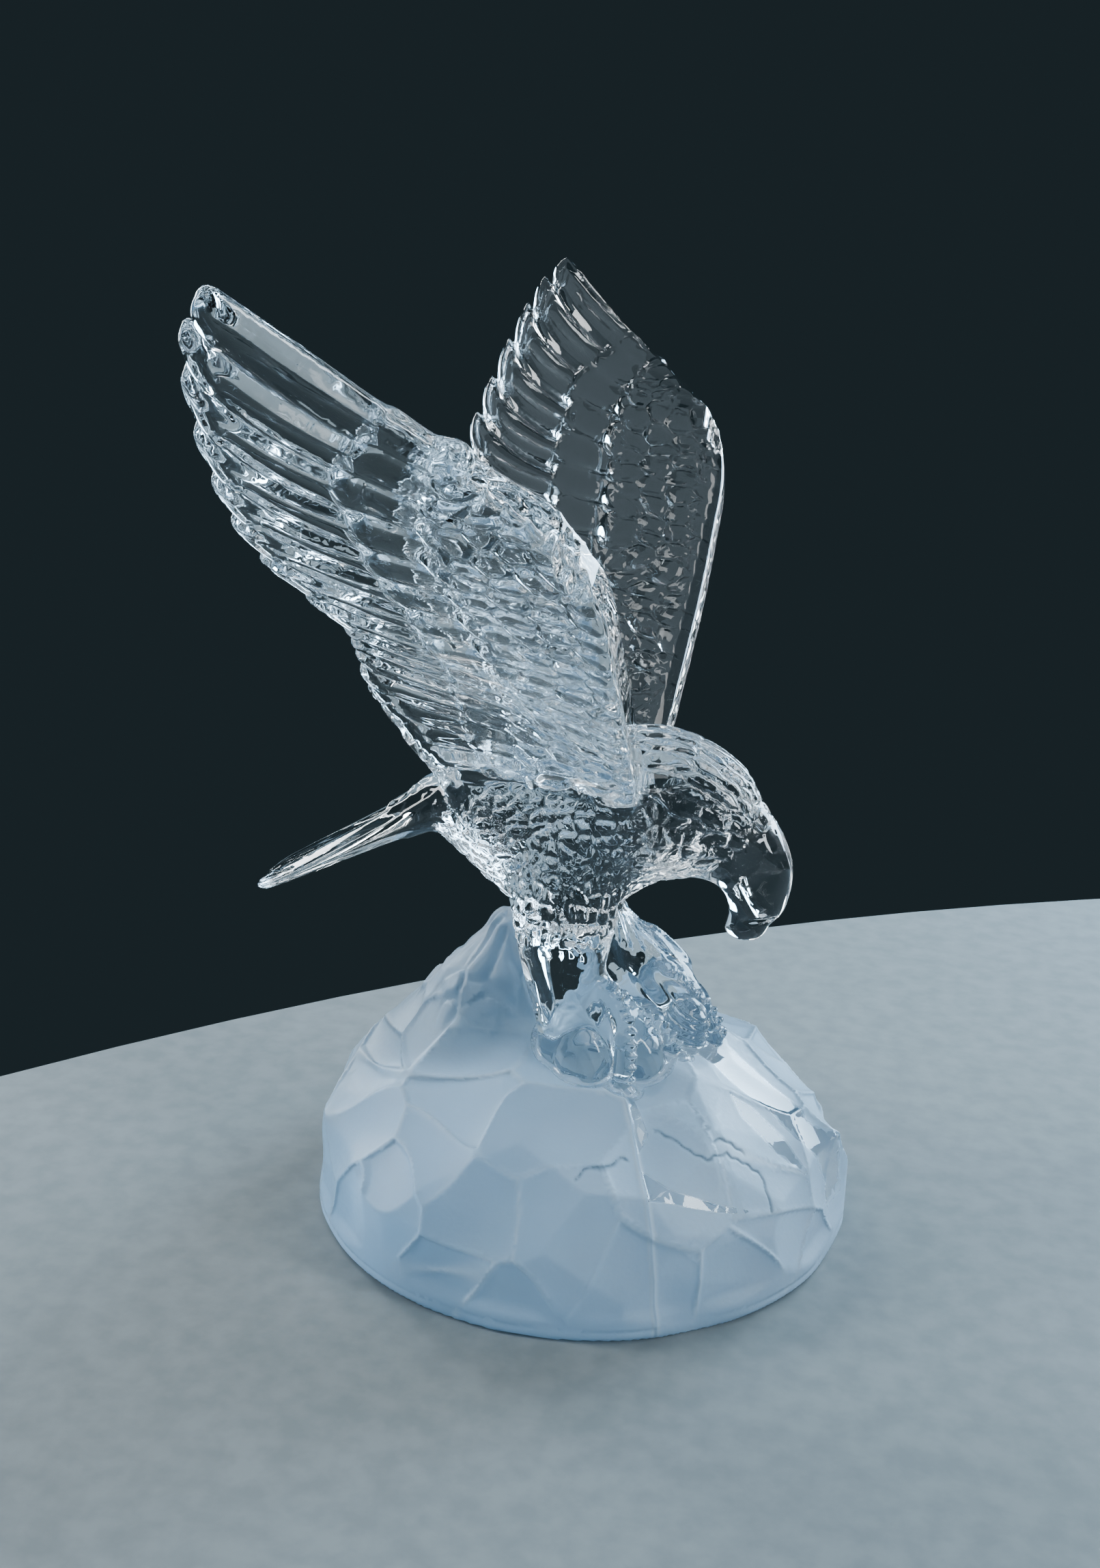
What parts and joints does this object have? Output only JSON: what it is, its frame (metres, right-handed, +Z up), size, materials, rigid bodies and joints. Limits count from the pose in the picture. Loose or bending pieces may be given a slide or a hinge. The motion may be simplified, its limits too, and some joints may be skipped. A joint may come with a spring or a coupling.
{
  "type": "crystal eagle figurine",
  "caption": "Cast lead-crystal eagle with raised, swept-back wings, perched on a frosted faceted rock with a round flat foot.",
  "frame": {"origin": "centre of the flat round underside of the rock", "axes": "+X the way the eagle faces (beak), +Y towards its left wing tip, +Z up"},
  "size_m": [0.1325, 0.2306, 0.195],
  "materials": {
    "crystal": "polished clear lead crystal, acid-frosted on the rock"
  },
  "bodies": {
    "root": {"eagle_figurine": "crystal"}
  },
  "joints": []
}
